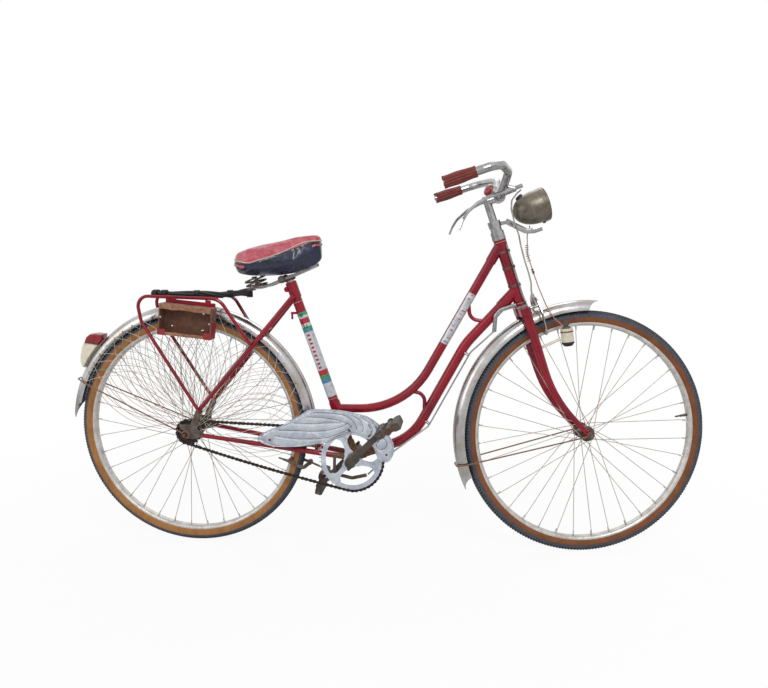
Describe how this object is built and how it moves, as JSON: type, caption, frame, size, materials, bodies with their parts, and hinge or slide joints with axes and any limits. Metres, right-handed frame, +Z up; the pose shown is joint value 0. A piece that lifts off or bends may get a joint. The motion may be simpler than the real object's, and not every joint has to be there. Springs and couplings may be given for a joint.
{
  "type": "bicycle",
  "caption": "Weathered step-through roadster bicycle with swept bars, mudguards, rear rack, dynamo lamp and chainguard, steered slightly left.",
  "frame": {"origin": "on the rider's seat: the crown of the saddle, in the bicycle's middle plane", "axes": "+X forward along the bicycle, +Y to the rider's left, +Z up"},
  "size_m": [1.8684, 0.5359, 1.0883],
  "materials": {
    "frame_paint": "crimson paint, scuffed, with rust at the joints",
    "chrome": "pitted chrome",
    "alloy": "weathered bare aluminium",
    "rust": "rusted steel",
    "tyre": "dusty black tread with tan sidewalls",
    "rim_steel": "dull plated rim with rust specks",
    "spoke_steel": "rusted spokes",
    "grip_rubber": "perished red-brown rubber",
    "black_rubber": "cracked black rubber",
    "saddle_vinyl": "torn red and navy vinyl",
    "cream_paint": "yellowed cream paint",
    "red_lens": "cloudy red plastic",
    "clear_lens": "dusty clear glass",
    "case_leather": "worn brown leather",
    "lamp_metal": "tarnished plating",
    "cable_sheath": "faded plastic sheath"
  },
  "bodies": {
    "frame": {"head_tube": "frame_paint", "head_cups": "chrome", "top_tube": "frame_paint", "down_tube": "frame_paint", "seat_tube": "frame_paint", "frame_braces": "frame_paint", "bottom_bracket": "frame_paint", "chain_stays": "frame_paint", "seat_stays": "frame_paint", "rear_fork_ends": "rust", "rear_axle": "rust", "seat_post": "chrome", "saddle_springs": "chrome", "saddle_cover": "saddle_vinyl", "rear_mudguard": "alloy", "rear_guard_stays": "rust", "rear_lamp": "cream_paint", "rear_lamp_lens": "red_lens", "rack_rails": "frame_paint", "rack_bars": "frame_paint", "rack_strap": "black_rubber", "tool_case": "case_leather", "chain": "rust", "chainguard": "alloy", "rear_brake": "rust", "brake_rods": "chrome"},
    "steering": {"fork_crown": "frame_paint", "fork_blades": "frame_paint", "headset_nut": "chrome", "stem": "chrome", "handlebar": "chrome", "grip_left": "grip_rubber", "grip_right": "grip_rubber", "brake_levers": "chrome", "bell": "frame_paint", "headlamp": "lamp_metal", "headlamp_lens": "clear_lens", "lamp_bracket": "chrome", "front_mudguard": "alloy", "front_guard_stays": "rust", "front_brake": "alloy", "dynamo": "cream_paint", "front_axle": "rust", "brake_cable": "cable_sheath", "lamp_lead": "cable_sheath"},
    "front_wheel": {"front_tyre": "tyre", "front_rim": "rim_steel", "front_spokes": "spoke_steel", "front_hub": "rust"},
    "rear_wheel": {"rear_tyre": "tyre", "rear_rim": "rim_steel", "rear_spokes": "spoke_steel", "rear_hub": "rust", "rear_sprocket": "rust"},
    "crankset": {"chainring": "alloy", "crank_right": "rust", "crank_left": "rust"},
    "pedal_right": {"pedal_right": "black_rubber"},
    "pedal_left": {"pedal_left": "black_rubber"}
  },
  "joints": [
    {"name": "steering", "type": "hinge", "parent": "frame", "child": "steering", "pos_m": [0.6965, 0, -0.18888], "axis": [-0.309, 0, 0.9511], "range_deg": [-70, 50]},
    {"name": "front_wheel_spin", "type": "hinge", "parent": "steering", "child": "front_wheel", "pos_m": [0.8791, 0.01077, -0.55329], "axis": [-0.1651, 0.9848, -0.0537], "continuous": true},
    {"name": "rear_wheel_spin", "type": "hinge", "parent": "frame", "child": "rear_wheel", "pos_m": [-0.27, 0, -0.553], "axis": [0, 1, 0], "continuous": true},
    {"name": "crank_spin", "type": "hinge", "parent": "frame", "child": "crankset", "pos_m": [0.21375, 0, -0.631], "axis": [0, 1, 0], "continuous": true},
    {"name": "pedal_right_spin", "type": "hinge", "parent": "crankset", "child": "pedal_right", "pos_m": [0.33396, -0.121, -0.51079], "axis": [0, 1, 0], "continuous": true},
    {"name": "pedal_left_spin", "type": "hinge", "parent": "crankset", "child": "pedal_left", "pos_m": [0.09354, 0.121, -0.75121], "axis": [0, 1, 0], "continuous": true}
  ]
}
